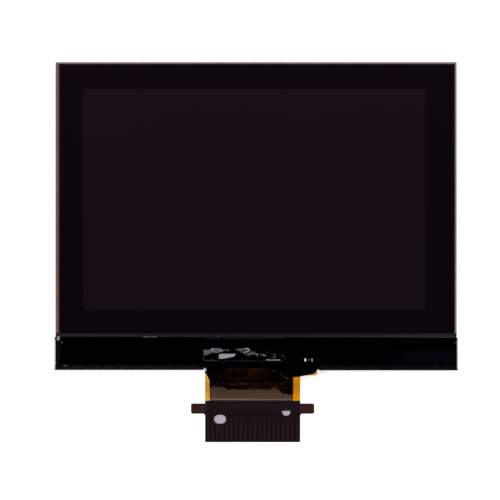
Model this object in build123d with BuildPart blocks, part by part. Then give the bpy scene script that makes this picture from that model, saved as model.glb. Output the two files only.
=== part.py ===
from build123d import *
from math import atan2, hypot, tan
import os

# A small colour display module, lying on its back with its flex tail laid out flat.
# Millimetres. The origin is the middle of the panel's outline, on the flat back of the
# rear bezel. +X runs right across the screen, +Y up it and +Z out of it.

# Panel glass
panel_width = 85.3
panel_height = 65.4
glass_thickness = 0.5
glass_chamfer = 0.06
ledge_depth = 6.75

# Dark border round the picture area
active_left_margin = 6.0
active_right_margin = 6.8
active_top_margin = 5.76
active_bottom_margin = 5.95

# Polarisers, inset from the glass by different margins
polariser_thickness = 0.2
polariser_left_inset = 0.65
polariser_right_inset = 0.35
polariser_top_inset = 0.35
polariser_bottom_inset = 1.0
polariser_corner_radius = 0.25

# Cell gap between the two glasses
seal_thickness = 0.03
seal_inset = 0.4
seal_width = 1.2
filter_layer_thickness = 0.03
filter_layer_inset = 0.2

# Rear bezel, pressed from steel sheet
bezel_inset = 0.2
metal_thickness = 0.3
metal_bend_radius = 0.15
bezel_wall_height = 1.9
corner_relief = 1.4
joggle_run = 0.5
window_width = 3.4
window_height = 0.8

# Light frame, a plastic moulding inside the bezel
frame_play = 0.05
frame_corner_radius = 1.1
snap_height = 1.1
snap_play = 0.15
snap_reach = 0.22
snap_draft = 15
pocket_depth = 1.3
pocket_wall = 0.9
pocket_count = 7
pocket_corner_radius = 0.3

# Sheets and the light guide
reflector_thickness = 0.2
guide_thickness = 1.5
guide_side_margin = 2.0
guide_top_margin = 1.6
guide_led_margin = 3.0
guide_play = 0.1
guide_ear_width = 3.2
guide_ear_reach = 1.1
guide_ear_radius = 0.3
diffuser_thickness = 0.15
prism_thickness = 0.15
sheet_play = 0.05
sheet_inset = 0.1
sheet_tab_step = 0.4
rim_tape_thickness = 0.1
rim_window_margin = 0.8

# Light bar: the lamps on their own short flex
led_count = 6
led_width = 3.8
led_depth = 1.0
led_height = 1.2
led_window_width = 3.0
led_window_height = 0.8
led_window_depth = 0.15
led_gap = 0.1
led_chamfer = 0.15
bay_play = 0.25
led_flex_thickness = 0.12
led_flex_lap = 0.7
led_flex_margin = 1.6
glue_thickness = 0.02
lead_width = 2.4
lead_from_wing_tip = 1.5
lead_standoff = 0.75
lead_stop = 0.25
lead_bend_radius = 0.3
slot_play = 0.2
slot_height = 0.5
solder_width = 0.7
solder_reach = 0.4
solder_height = 0.45

# Driver chip on the ledge
chip_width = 17.1
chip_depth = 3.0
chip_height = 0.4
chip_left = 31.57
chip_rise_from_edge = 3.55
bond_thickness = 0.03
bond_margin = 0.1

# Flex circuit: head on the ledge, wing at its right, tail with contacts
contact_count = 19
contact_pitch = 1.0
contact_side_margin = 1.15
contact_width = 0.6
contact_length = 3.6
contact_thickness = 0.035
contact_end_margin = 0.1
film_thickness = 0.12
tail_left = 31.77
head_lap = 1.5
wing_reach = 3.6
wing_lap = 2.75
wing_drop = 1.27
wing_corner_radius = 0.5
tail_reach = 6.82
bend_start = 1.85
bend_finish = 1.8
bend_share = 0.96
film_gap = 0.01
trace_thickness = 0.035
trace_left_margin = 0.98
trace_right_margin = 1.51
trace_top_margin = 0.1
trace_taper_start = 0.6
trace_taper_length = 1.7
trace_inset = 0.3

# Stiffener over the contacts, with two locating ears
stiffener_thickness = 0.2
stiffener_length = 8.75
ear_reach = 3.0
ear_height = 2.2
ear_drop = 0.48
ear_corner_radius = 0.4
ear_lower_radius = 0.5
ear_upper_radius = 0.62
round_hole_radius = 0.92
round_hole_from_left = 17.3
round_hole_drop = 2.19
slot_hole_length = 2.6
slot_hole_width = 1.9
slot_hole_from_left = 3.19
slot_hole_drop = 3.83
film_slot_margin = 0.2
film_slot_cover = 0.81

# Capacitor on the wing
capacitor_length = 1.0
capacitor_width = 0.5
capacitor_height = 0.35
capacitor_end_length = 0.22
capacitor_from_right = 1.85
capacitor_from_edge = 1.91

# Black tape folded round the ledge
tape_thickness = 0.08
tape_gap = 0.02
tape_recess = 0.02
tape_overhang = 0.25
tape_lap = 0.35
tape_slope = 0.55
tape_fold_radius = 0.05
tape_foot_radius = 0.3
tape_back_reach = 3.2
tape_skirt = 0.12
tape_tab_reach = 2.39
tape_notch_play = 0.15
bump_length = 2.06
bump_width = 1.0
bump_end_drop = 0.16
bump_corner_radius = 0.3
bump_draft = 12

# Places of repeated features, as shares of the length they run along
side_snap_shares = (-0.28, 0.3)
end_snap_shares = (-0.32, 0.32)
guide_ear_shares = (0.2, 0.78)

# Hand-cut lower edge of the tape over the flex circuit: across the head from its left, and
# down from the ledge's edge as a share of the tab's reach
tab_edge_shares = (
    (0, 0.343),
    (0.053, 0.264),
    (0.106, 0.126),
    (0.195, -0.105),
    (0.542, -0.105),
    (0.6, 0.021),
    (0.667, 0.393),
    (0.741, 0.858),
    (0.769, 1),
    (0.783, 0.678),
    (0.845, 0.636),
    (0.912, 0.494),
    (0.97, 0.36),
    (0.996, 0.075),
    (1, 0.02),
)

# One overrun for every cut
overrun = 1.0

# Edges of the panel and of what is printed or stuck on it
panel_left = -panel_width / 2
panel_right = panel_width / 2
panel_top = panel_height / 2
panel_bottom = -panel_height / 2
filter_bottom = panel_bottom + ledge_depth
active_left = panel_left + active_left_margin
active_right = panel_right - active_right_margin
active_top = panel_top - active_top_margin
active_bottom = filter_bottom + active_bottom_margin
active_width = active_right - active_left
active_height = active_top - active_bottom
polariser_left = panel_left + polariser_left_inset
polariser_right = panel_right - polariser_right_inset
polariser_top = panel_top - polariser_top_inset
polariser_bottom = filter_bottom + polariser_bottom_inset

# Edges of the bezel, the frame and the light guide
bezel_width = panel_width - 2 * bezel_inset
bezel_height = panel_height - 2 * bezel_inset
frame_width = bezel_width - 2 * (metal_thickness + frame_play)
frame_height = bezel_height - 2 * (metal_thickness + frame_play)
guide_left = active_left - guide_side_margin
guide_right = active_right + guide_side_margin
guide_top = active_top + guide_top_margin
guide_bottom = active_bottom - guide_led_margin
led_face = guide_bottom - led_gap
led_back = led_face - led_depth
led_flex_bottom = led_back - led_flex_margin
led_flex_top = guide_bottom + led_flex_lap
led_pitch = active_width / led_count
led_row_centre = (active_left + active_right) / 2
joggle_start = panel_bottom + tape_back_reach + joggle_run + tape_gap
joggle_rise = tape_gap + tape_thickness + tape_recess
lead_outside = panel_bottom - lead_standoff

# Heights of the stack, from the back upwards
guide_base = metal_thickness + reflector_thickness
guide_face = guide_base + guide_thickness
sheets_top = guide_face + diffuser_thickness + 2 * prism_thickness
frame_top = sheets_top + sheet_play
rim_tape_top = frame_top + rim_tape_thickness
array_base = rim_tape_top + polariser_thickness
ledge_top = array_base + glass_thickness
seal_top = ledge_top + seal_thickness
filter_base = seal_top + filter_layer_thickness
filter_top = filter_base + glass_thickness
led_flex_base = metal_thickness + glue_thickness
led_base = led_flex_base + led_flex_thickness
ledge_floor_top = joggle_rise + metal_thickness
head_base = ledge_top + bond_thickness
head_top = head_base + film_thickness
tape_over_head = head_top + film_gap + trace_thickness + tape_gap

# Plan of the flex circuit
tail_width = contact_pitch * (contact_count - 1) + 2 * contact_side_margin
flex_left = panel_left + tail_left
flex_right = flex_left + tail_width
head_right = flex_right + wing_reach
head_edge = panel_bottom + head_lap
wing_edge = panel_bottom + wing_lap
wing_end = panel_bottom - wing_drop
stiffener_top = panel_bottom - tail_reach
tail_end = stiffener_top - stiffener_length
tail_middle = (flex_left + flex_right) / 2
tape_top_edge = filter_bottom + tape_lap
capacitor_x = head_right - capacitor_from_right
lead_middle = head_right - lead_from_wing_tip
capacitor_y = panel_bottom + capacitor_from_edge
chip_x = panel_left + chip_left + chip_width / 2
chip_y = panel_bottom + chip_rise_from_edge

os.makedirs("parts", exist_ok=True)


def area(left, right, bottom, top):
    """Rectangle between four edges, drawn in the sketch at hand."""
    with Locations(((left + right) / 2, (bottom + top) / 2)):
        Rectangle(right - left, top - bottom)


def shifted_route(points, radii, lift):
    """Corners and bend radii of a line that runs `lift` to the left of a bent route."""
    corners = [Vector(*point) for point in points]
    headings = [(end - start).normalized() for start, end in zip(corners, corners[1:])]
    sides = [Vector(-heading.Y, heading.X) for heading in headings]
    shifted = [corners[0] + sides[0] * lift]
    bends = []
    for place, radius in enumerate(radii):
        before = headings[place]
        after = headings[place + 1]
        spread = (sides[place] + sides[place + 1]) * (lift / (1 + before.dot(after)))
        shifted.append(corners[place + 1] + spread)
        turn = 1 if before.cross(after).Z > 0 else -1
        bends.append(radius - turn * lift)
    shifted.append(corners[-1] + sides[-1] * lift)
    return shifted, bends


def bent_section(plane, points, radii, near, far):
    """Section of a bent sheet that lies between two lifts from its route."""
    near_points, near_bends = shifted_route(points, radii, near)
    far_points, far_bends = shifted_route(points, radii, far)
    with BuildSketch(plane) as section:
        with BuildLine():
            FilletPolyline(*near_points, radius=near_bends)
            FilletPolyline(*far_points, radius=far_bends)
            Line(near_points[0], far_points[0])
            Line(near_points[-1], far_points[-1])
        make_face()
    return section.sketch


def wall_plane(outward, reach, along):
    """Plane on an upright wall `reach` from the middle, at the height of the snap lugs."""
    sideways = Vector(0, 0, 1).cross(outward)
    origin = outward * reach + sideways * along + Vector(0, 0, snap_height)
    return Plane(origin=origin, x_dir=sideways, z_dir=outward)


def snap_planes():
    """One plane for each snap lug, on the outer face of the light frame's walls."""
    planes = []
    for side in (-1, 1):
        for share in side_snap_shares:
            planes.append(wall_plane(Vector(side, 0, 0), frame_width / 2, share * frame_height))
        for share in end_snap_shares:
            planes.append(wall_plane(Vector(0, side, 0), frame_height / 2, share * frame_width))
    return planes


def guide_ears(width, reach):
    """Ears on both sides of the light guide or of a sheet, in the sketch at hand."""
    for share in guide_ear_shares:
        ear_y = guide_bottom + share * (guide_top - guide_bottom)
        area(guide_left - reach, guide_right + reach, ear_y - width / 2, ear_y + width / 2)


# Rear bezel: floor with a step up for the tape, folded ends, then the folded sides
outer_bend = metal_bend_radius + metal_thickness
bezel_ends = [
    (-bezel_height / 2, bezel_wall_height),
    (-bezel_height / 2, joggle_rise),
    (joggle_start - joggle_run, joggle_rise),
    (joggle_start, 0),
    (bezel_height / 2, 0),
    (bezel_height / 2, bezel_wall_height),
]
bezel_sides = [
    (-bezel_width / 2, bezel_wall_height),
    (-bezel_width / 2, 0),
    (bezel_width / 2, 0),
    (bezel_width / 2, bezel_wall_height),
]
side_wall_top = bezel_height / 2 - corner_relief

with BuildPart() as rear_bezel:
    extrude(
        bent_section(Plane.YZ, bezel_ends, [outer_bend] * 4, 0, metal_thickness),
        amount=bezel_width / 2 - corner_relief,
        both=True,
    )
    extrude(
        bent_section(Plane.XZ.offset(-side_wall_top), bezel_sides, [outer_bend] * 2, 0, metal_thickness),
        amount=side_wall_top - joggle_start,
    )
    # Windows that the frame's lugs snap into
    with BuildSketch(*snap_planes()):
        Rectangle(window_width, window_height)
    extrude(amount=frame_play + metal_thickness + overrun, mode=Mode.SUBTRACT)
    # Slot for the light bar's lead
    with BuildSketch(Plane.XY.offset(ledge_floor_top)):
        area(
            lead_middle - lead_width / 2 - slot_play,
            lead_middle + lead_width / 2 + slot_play,
            -bezel_height / 2 - overrun,
            -bezel_height / 2 + outer_bend + frame_play,
        )
    extrude(amount=slot_height, mode=Mode.SUBTRACT)

rear_bezel.part.label = "rear_bezel"
export_step(rear_bezel.part, "parts/rear_bezel.step")


# Light frame: body inside the tray, a lip over the tray's walls, a rib under the ledge
bay_half_width = (active_width + led_width) / 2
bay_roof = led_base + led_height + bay_play
pocket_span = frame_width - 2 * pocket_wall
pocket_pitch = pocket_span / pocket_count
pocket_top = led_flex_bottom - pocket_wall
pocket_bottom = -frame_height / 2 + pocket_wall
rib_edge = polariser_bottom - ledge_depth / 4

with BuildPart() as light_frame:
    with BuildSketch(Plane.XY.offset(metal_thickness)):
        RectangleRounded(frame_width, frame_height, frame_corner_radius)
    extrude(amount=bezel_wall_height - metal_thickness)
    # The foot clears the tray's bends and the step in its floor
    with BuildSketch(Plane.XZ) as foot_across:
        area(-frame_width / 2, frame_width / 2, metal_thickness, bezel_wall_height)
        chamfer(foot_across.vertices().group_by(Axis.Y)[0], metal_bend_radius)
    extrude(amount=frame_height, both=True, mode=Mode.INTERSECT)
    with BuildSketch(Plane.YZ):
        with BuildLine():
            Polyline(
                (-frame_height / 2, bezel_wall_height),
                (-frame_height / 2, ledge_floor_top + metal_bend_radius),
                (-frame_height / 2 + metal_bend_radius, ledge_floor_top),
                (joggle_start + frame_play, ledge_floor_top),
                (joggle_start + frame_play, metal_thickness),
                (frame_height / 2 - metal_bend_radius, metal_thickness),
                (frame_height / 2, metal_thickness + metal_bend_radius),
                (frame_height / 2, bezel_wall_height),
                close=True,
            )
        make_face()
    extrude(amount=frame_width, both=True, mode=Mode.INTERSECT)
    with BuildSketch(Plane.XY.offset(bezel_wall_height)):
        RectangleRounded(bezel_width, bezel_height, frame_corner_radius)
    extrude(amount=frame_top - bezel_wall_height)
    with BuildSketch(Plane.XY.offset(frame_top)):
        area(-frame_width / 2, frame_width / 2, -frame_height / 2, rib_edge)
    extrude(amount=array_base - frame_top)
    # Opening for the light guide and the sheets, with notches for their ears
    with BuildSketch(Plane.XY.offset(metal_thickness)):
        area(
            guide_left - guide_play,
            guide_right + guide_play,
            guide_bottom - guide_play,
            guide_top + guide_play,
        )
        guide_ears(guide_ear_width + 2 * guide_play, guide_ear_reach + guide_play)
    extrude(amount=array_base, mode=Mode.SUBTRACT)
    # Bay for the lamps, under the frame's roof
    with BuildSketch(Plane.XY.offset(metal_thickness)):
        area(
            led_row_centre - bay_half_width,
            led_row_centre + bay_half_width,
            led_back - bay_play,
            guide_bottom,
        )
    extrude(amount=bay_roof - metal_thickness, mode=Mode.SUBTRACT)
    # Recess under the light bar's flex, and the channel for its lead
    with BuildSketch(Plane.XY.offset(metal_thickness)):
        area(
            led_row_centre - bay_half_width,
            led_row_centre + bay_half_width,
            led_flex_bottom - slot_play,
            guide_bottom,
        )
        area(
            lead_middle - lead_width / 2 - slot_play,
            lead_middle + lead_width / 2 + slot_play,
            -frame_height / 2 - overrun,
            led_flex_bottom,
        )
    extrude(amount=joggle_rise + glue_thickness + led_flex_thickness + slot_play, mode=Mode.SUBTRACT)
    # Moulded pockets from below, in the wide lower bar
    with BuildSketch(Plane.XY.offset(metal_thickness)):
        with Locations((0, (pocket_top + pocket_bottom) / 2)):
            with GridLocations(pocket_pitch, 0, pocket_count, 1):
                RectangleRounded(
                    pocket_pitch - pocket_wall,
                    pocket_top - pocket_bottom,
                    pocket_corner_radius,
                )
    extrude(amount=joggle_rise + pocket_depth, mode=Mode.SUBTRACT)
    # Lugs that snap into the bezel's windows
    with BuildSketch(*snap_planes()):
        Rectangle(window_width - 2 * snap_play, window_height - 2 * snap_play)
    extrude(amount=snap_reach, taper=snap_draft)

light_frame.part.label = "light_frame"
export_step(light_frame.part, "parts/light_frame.step")


# Reflector under the light guide
with BuildPart() as reflector_sheet:
    with BuildSketch(Plane.XY.offset(metal_thickness)):
        area(guide_left, guide_right, led_flex_top + guide_play, guide_top)
    extrude(amount=reflector_thickness)

reflector_sheet.part.label = "reflector_sheet"
export_step(reflector_sheet.part, "parts/reflector_sheet.step")


# Light guide with two ears a side
with BuildPart() as light_guide:
    with BuildSketch(Plane.XY.offset(guide_base)) as guide_plan:
        area(guide_left, guide_right, guide_bottom, guide_top)
        guide_ears(guide_ear_width, guide_ear_reach)
        ear_tips = guide_plan.vertices().group_by(Axis.X)
        fillet(ear_tips[0] + ear_tips[-1], guide_ear_radius)
    extrude(amount=guide_thickness)

light_guide.part.label = "light_guide"
export_step(light_guide.part, "parts/light_guide.step")


# Diffuser and two crossed prism sheets, each with ears a little narrower than the last
sheet_stack = (
    ("diffuser_sheet", diffuser_thickness),
    ("lower_prism_sheet", prism_thickness),
    ("upper_prism_sheet", prism_thickness),
)
sheet_base = guide_face
for step, (sheet_name, sheet_thickness) in enumerate(sheet_stack, start=1):
    with BuildPart() as optical_sheet:
        with BuildSketch(Plane.XY.offset(sheet_base)):
            area(
                guide_left + sheet_inset,
                guide_right - sheet_inset,
                guide_bottom + sheet_inset,
                guide_top - sheet_inset,
            )
            guide_ears(guide_ear_width - step * sheet_tab_step, guide_ear_reach - sheet_inset)
        extrude(amount=sheet_thickness)
    optical_sheet.part.label = sheet_name
    export_step(optical_sheet.part, f"parts/{sheet_name}.step")
    sheet_base += sheet_thickness


# Rim tape between the light frame and the panel
with BuildPart() as rim_tape:
    with BuildSketch(Plane.XY.offset(frame_top)):
        area(polariser_left, polariser_right, rib_edge + sheet_play, polariser_top)
        with Locations(((active_left + active_right) / 2, (active_top + active_bottom) / 2)):
            Rectangle(
                active_width + 2 * rim_window_margin,
                active_height + 2 * rim_window_margin,
                mode=Mode.SUBTRACT,
            )
    extrude(amount=rim_tape_thickness)

rim_tape.part.label = "rim_tape"
export_step(rim_tape.part, "parts/rim_tape.step")


# Light bar's flex: a strip under the lamps and a lead that turns up outside the bezel
lead_route = [
    (lead_outside, head_base - lead_stop),
    (lead_outside, ledge_floor_top + glue_thickness),
    (joggle_start - joggle_run / 2, ledge_floor_top + glue_thickness),
    (joggle_start + joggle_run / 2, led_flex_base),
    (led_flex_bottom + led_flex_margin / 2, led_flex_base),
]

with BuildPart() as led_flex:
    with BuildSketch(Plane.XY.offset(led_flex_base)):
        area(
            led_row_centre - bay_half_width + slot_play,
            led_row_centre + bay_half_width - slot_play,
            led_flex_bottom,
            led_flex_top,
        )
    extrude(amount=led_flex_thickness)
    extrude(
        bent_section(
            Plane.YZ.offset(lead_middle - lead_width / 2),
            lead_route,
            [lead_bend_radius] * 3,
            0,
            led_flex_thickness,
        ),
        amount=lead_width,
    )

led_flex.part.label = "led_flex"
export_step(led_flex.part, "parts/led_flex.step")


# Lamps that shine into the light guide's lower edge, and the glow windows in their faces
led_window_plane = Plane(
    origin=(led_row_centre, led_face, led_base + led_height / 2),
    x_dir=(1, 0, 0),
    z_dir=(0, -1, 0),
)

with BuildPart() as led_packages:
    with BuildSketch(Plane.XY.offset(led_base)):
        with Locations((led_row_centre, (led_face + led_back) / 2)):
            with GridLocations(led_pitch, 0, led_count, 1):
                Rectangle(led_width, led_depth)
    extrude(amount=led_height)
    back_edges = led_packages.edges().filter_by(Axis.Z).group_by(Axis.Y)[0]
    chamfer(back_edges, led_chamfer)
    with BuildSketch(led_window_plane):
        with GridLocations(led_pitch, 0, led_count, 1):
            Rectangle(led_window_width, led_window_height)
    extrude(amount=led_window_depth, mode=Mode.SUBTRACT)

led_packages.part.label = "led_packages"
export_step(led_packages.part, "parts/led_packages.step")

with BuildPart() as led_windows:
    with BuildSketch(led_window_plane):
        with GridLocations(led_pitch, 0, led_count, 1):
            Rectangle(led_window_width, led_window_height)
    extrude(amount=led_window_depth)

led_windows.part.label = "led_windows"
export_step(led_windows.part, "parts/led_windows.step")


# Two solder beads that hold the lead's end under the flex circuit's wing
with BuildPart() as lead_solder:
    with BuildSketch(Plane.XY.offset(head_base - lead_stop)):
        with Locations((lead_middle, lead_outside - solder_reach / 2)):
            with GridLocations(lead_width / 2, 0, 2, 1):
                Rectangle(solder_width, solder_reach)
    extrude(amount=-solder_height)
    outer_feet = lead_solder.edges().filter_by(Axis.X).group_by(Axis.Z)[0].sort_by(Axis.Y)[:2]
    chamfer(outer_feet, solder_reach * bend_share, solder_height / 2)

lead_solder.part.label = "lead_solder"
export_step(lead_solder.part, "parts/lead_solder.step")


# Rear and front polarisers, laminated to the outer faces of the two glasses
for polariser_name, polariser_base in (
    ("rear_polariser", rim_tape_top),
    ("front_polariser", filter_top),
):
    with BuildPart() as polariser:
        with BuildSketch(Plane.XY.offset(polariser_base)) as polariser_plan:
            area(polariser_left, polariser_right, polariser_bottom, polariser_top)
            fillet(polariser_plan.vertices(), polariser_corner_radius)
        extrude(amount=polariser_thickness)
    polariser.part.label = polariser_name
    export_step(polariser.part, f"parts/{polariser_name}.step")


# Array glass with the chip ledge, and the shorter filter glass over it
with BuildPart() as array_glass:
    with BuildSketch(Plane.XY.offset(array_base)):
        area(panel_left, panel_right, panel_bottom, panel_top)
    extrude(amount=glass_thickness)
    chamfer(array_glass.faces().sort_by(Axis.Z)[0].edges(), glass_chamfer)

array_glass.part.label = "array_glass"
export_step(array_glass.part, "parts/array_glass.step")

with BuildPart() as filter_glass:
    with BuildSketch(Plane.XY.offset(filter_base)):
        area(panel_left, panel_right, filter_bottom, panel_top)
    extrude(amount=glass_thickness)
    chamfer(filter_glass.faces().sort_by(Axis.Z)[-1].edges(), glass_chamfer)

filter_glass.part.label = "filter_glass"
export_step(filter_glass.part, "parts/filter_glass.step")


# Cell between the glasses: seal, liquid crystal, colour filter and printed border
seal_left = panel_left + seal_inset
seal_right = panel_right - seal_inset
seal_bottom = filter_bottom + seal_inset
seal_upper = panel_top - seal_inset

with BuildPart() as cell_seal:
    with BuildSketch(Plane.XY.offset(ledge_top)):
        area(seal_left, seal_right, seal_bottom, seal_upper)
        with Locations(((seal_left + seal_right) / 2, (seal_bottom + seal_upper) / 2)):
            Rectangle(
                seal_right - seal_left - 2 * seal_width,
                seal_upper - seal_bottom - 2 * seal_width,
                mode=Mode.SUBTRACT,
            )
    extrude(amount=seal_thickness)

cell_seal.part.label = "cell_seal"
export_step(cell_seal.part, "parts/cell_seal.step")

with BuildPart() as liquid_crystal:
    with BuildSketch(Plane.XY.offset(ledge_top)):
        area(
            seal_left + seal_width,
            seal_right - seal_width,
            seal_bottom + seal_width,
            seal_upper - seal_width,
        )
    extrude(amount=seal_thickness)

liquid_crystal.part.label = "liquid_crystal"
export_step(liquid_crystal.part, "parts/liquid_crystal.step")

with BuildPart() as colour_filter:
    with BuildSketch(Plane.XY.offset(seal_top)):
        area(active_left, active_right, active_bottom, active_top)
    extrude(amount=filter_layer_thickness)

colour_filter.part.label = "colour_filter"
export_step(colour_filter.part, "parts/colour_filter.step")

with BuildPart() as border_mask:
    with BuildSketch(Plane.XY.offset(seal_top)):
        area(
            panel_left + filter_layer_inset,
            panel_right - filter_layer_inset,
            filter_bottom + filter_layer_inset,
            panel_top - filter_layer_inset,
        )
        with Locations(((active_left + active_right) / 2, (active_top + active_bottom) / 2)):
            Rectangle(active_width, active_height, mode=Mode.SUBTRACT)
    extrude(amount=filter_layer_thickness)

border_mask.part.label = "border_mask"
export_step(border_mask.part, "parts/border_mask.step")


# Driver chip and the film that bonds it to the ledge
with BuildPart() as chip_bond_film:
    with BuildSketch(Plane.XY.offset(ledge_top)):
        with Locations((chip_x, chip_y)):
            Rectangle(chip_width + 2 * bond_margin, chip_depth + 2 * bond_margin)
    extrude(amount=bond_thickness)

chip_bond_film.part.label = "chip_bond_film"
export_step(chip_bond_film.part, "parts/chip_bond_film.step")

with BuildPart() as driver_chip:
    with BuildSketch(Plane.XY.offset(head_base)):
        with Locations((chip_x, chip_y)):
            Rectangle(chip_width, chip_depth)
    extrude(amount=chip_height)

driver_chip.part.label = "driver_chip"
export_step(driver_chip.part, "parts/driver_chip.step")


# Route of the flex circuit's underside, from the contacts up the S-bend to the ledge
bend_foot = stiffener_top + bend_finish
bend_head = panel_bottom - bend_start
bend_rise = head_base - contact_thickness
bend_slope = atan2(bend_rise, bend_head - bend_foot)
bend_room = min(hypot(bend_rise, bend_head - bend_foot) / 2, bend_start, bend_finish)
bend_radius = bend_share * bend_room / tan(bend_slope / 2)
flex_route = [
    (tail_end, contact_thickness),
    (bend_foot, contact_thickness),
    (bend_head, head_base),
    (wing_edge, head_base),
]


def flex_layer(left, right, near, far):
    """Solid of one layer of the bent flex circuit, between two lifts from its route."""
    plane = Plane.YZ.offset(left)
    section = bent_section(plane, flex_route, [bend_radius] * 2, near, far)
    return extrude(section, amount=right - left, mode=Mode.PRIVATE)


def hole_places():
    """Middles of the round hole and of the slotted hole."""
    round_place = (flex_left + round_hole_from_left, stiffener_top - round_hole_drop)
    slot_place = (flex_left + slot_hole_from_left, stiffener_top - slot_hole_drop)
    return round_place, slot_place


round_place, slot_place = hole_places()

# Base film: head with its wing, S-bend and tail, cut from one bent sheet
with BuildPart() as flex_circuit:
    add(flex_layer(flex_left, head_right, 0, film_thickness))
    with BuildSketch() as flex_plan:
        area(flex_left, flex_right, tail_end, head_edge)
        area(flex_left, head_right, wing_end, head_edge)
        area(flex_right, head_right, wing_end, wing_edge)
        wing_tips = flex_plan.vertices().group_by(Axis.X)[-1]
        fillet(wing_tips, wing_corner_radius)
        with Locations(slot_place):
            SlotOverall(slot_hole_length, slot_hole_width, mode=Mode.SUBTRACT)
        # The film behind the round hole is slotted a little lower than the hole
        with Locations((round_place[0], round_place[1] - film_slot_cover)):
            Rectangle(
                2 * (round_hole_radius + film_slot_margin),
                2 * round_hole_radius,
                mode=Mode.SUBTRACT,
            )
    extrude(amount=head_top + overrun, mode=Mode.INTERSECT)

flex_circuit.part.label = "flex_circuit"
export_step(flex_circuit.part, "parts/flex_circuit.step")


# Dark conductor field on the film, tapering in from the left edge below the tape
trace_left = flex_left + trace_left_margin
trace_right = flex_right - trace_right_margin
trace_upper = head_edge - trace_inset
trace_near = film_thickness + film_gap

with BuildPart() as flex_traces:
    add(flex_layer(flex_left, flex_right, trace_near, trace_near + trace_thickness))
    with BuildSketch():
        with BuildLine():
            Polyline(
                (flex_left + trace_top_margin, trace_upper),
                (flex_left + trace_top_margin, panel_bottom - trace_taper_start),
                (trace_left, panel_bottom - trace_taper_start - trace_taper_length),
                (trace_left, stiffener_top + film_gap),
                (trace_right, stiffener_top + film_gap),
                (trace_right, trace_upper),
                close=True,
            )
        make_face()
    extrude(amount=head_top + overrun, mode=Mode.INTERSECT)

flex_traces.part.label = "flex_traces"
export_step(flex_traces.part, "parts/flex_traces.step")


# Film that bonds the head and its wing to the ledge
with BuildPart() as flex_bond_film:
    with BuildSketch(Plane.XY.offset(ledge_top)):
        area(flex_left, head_right, panel_bottom + bond_margin, head_edge - bond_margin)
        area(flex_right, head_right, panel_bottom + bond_margin, wing_edge - bond_margin)
    extrude(amount=bond_thickness)

flex_bond_film.part.label = "flex_bond_film"
export_step(flex_bond_film.part, "parts/flex_bond_film.step")


# Stiffener on the tail, with an ear a side
ear_top = stiffener_top - ear_drop
ear_bottom = ear_top - ear_height

with BuildPart() as tail_stiffener:
    with BuildSketch(Plane.XY.offset(contact_thickness + film_thickness)) as stiffener_plan:
        area(flex_left, flex_right, tail_end, stiffener_top)
        area(flex_left - ear_reach, flex_right + ear_reach, ear_bottom, ear_top)
        columns = stiffener_plan.vertices().group_by(Axis.X)
        fillet(columns[0] + columns[-1], ear_corner_radius)
        columns = stiffener_plan.vertices().group_by(Axis.X)
        waists = ShapeList(
            vertex
            for column in columns
            for vertex in column
            if abs(abs(vertex.X - tail_middle) - tail_width / 2) < film_gap
        )
        rows = waists.group_by(Axis.Y)
        fillet(rows[1], ear_lower_radius)
        fillet(rows[2], ear_upper_radius)
        with Locations(round_place):
            Circle(round_hole_radius, mode=Mode.SUBTRACT)
        with Locations(slot_place):
            SlotOverall(slot_hole_length, slot_hole_width, mode=Mode.SUBTRACT)
    extrude(amount=stiffener_thickness)

tail_stiffener.part.label = "tail_stiffener"
export_step(tail_stiffener.part, "parts/tail_stiffener.step")


# Contact fingers on the tail's underside
with BuildPart() as contact_fingers:
    with BuildSketch():
        with Locations((tail_middle, tail_end + contact_end_margin + contact_length / 2)):
            with GridLocations(contact_pitch, 0, contact_count, 1):
                Rectangle(contact_width, contact_length)
    extrude(amount=contact_thickness)

contact_fingers.part.label = "contact_fingers"
export_step(contact_fingers.part, "parts/contact_fingers.step")


# Capacitor on the wing: ceramic body and its two metal ends
with BuildPart() as capacitor_body:
    with BuildSketch(Plane.XY.offset(head_top)):
        with Locations((capacitor_x, capacitor_y)):
            Rectangle(capacitor_length - 2 * capacitor_end_length, capacitor_width)
    extrude(amount=capacitor_height)

capacitor_body.part.label = "capacitor_body"
export_step(capacitor_body.part, "parts/capacitor_body.step")

with BuildPart() as capacitor_ends:
    with BuildSketch(Plane.XY.offset(head_top)):
        with Locations((capacitor_x, capacitor_y)):
            with GridLocations(capacitor_length - capacitor_end_length, 0, 2, 1):
                Rectangle(capacitor_end_length, capacitor_width)
    extrude(amount=capacitor_height)

capacitor_ends.part.label = "capacitor_ends"
export_step(capacitor_ends.part, "parts/capacitor_ends.step")


# Tape: folded round the ledge, raised over the chip, the flex head and the capacitor
tape_base = ledge_top + tape_gap
tape_route = [
    (panel_bottom + tape_back_reach, joggle_rise - tape_gap),
    (panel_bottom - tape_gap, joggle_rise - tape_gap),
    (panel_bottom - tape_gap, tape_base),
    (filter_bottom - tape_slope, tape_base),
    (filter_bottom - tape_gap, filter_top + tape_gap),
    (tape_top_edge, filter_top + tape_gap),
]
tape_bends = [tape_fold_radius, tape_fold_radius, tape_foot_radius, tape_fold_radius]
tab_near = film_thickness + film_gap + trace_thickness + tape_gap
tab_end = panel_bottom - tape_tab_reach
notch_reach = tape_notch_play + tape_skirt + tape_thickness
notch_left = flex_left - notch_reach
notch_right = head_right + notch_reach
notch_end = panel_bottom - tape_thickness - overrun


def tent(left, right, bottom, top, open_below, roof, grow):
    """Solid tent over a raised thing on the ledge, grown by `grow` on every side."""
    skirt = grow + tape_skirt
    foot = bottom if open_below else bottom - skirt
    sill = bottom if open_below else bottom - grow
    with BuildPart() as tented:
        with BuildSketch(Plane.XY.offset(ledge_top)):
            area(left - skirt, right + skirt, foot, top + skirt)
        with BuildSketch(Plane.XY.offset(roof + grow)):
            area(left - grow, right + grow, sill, top + grow)
        loft()
    return tented.part


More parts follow.
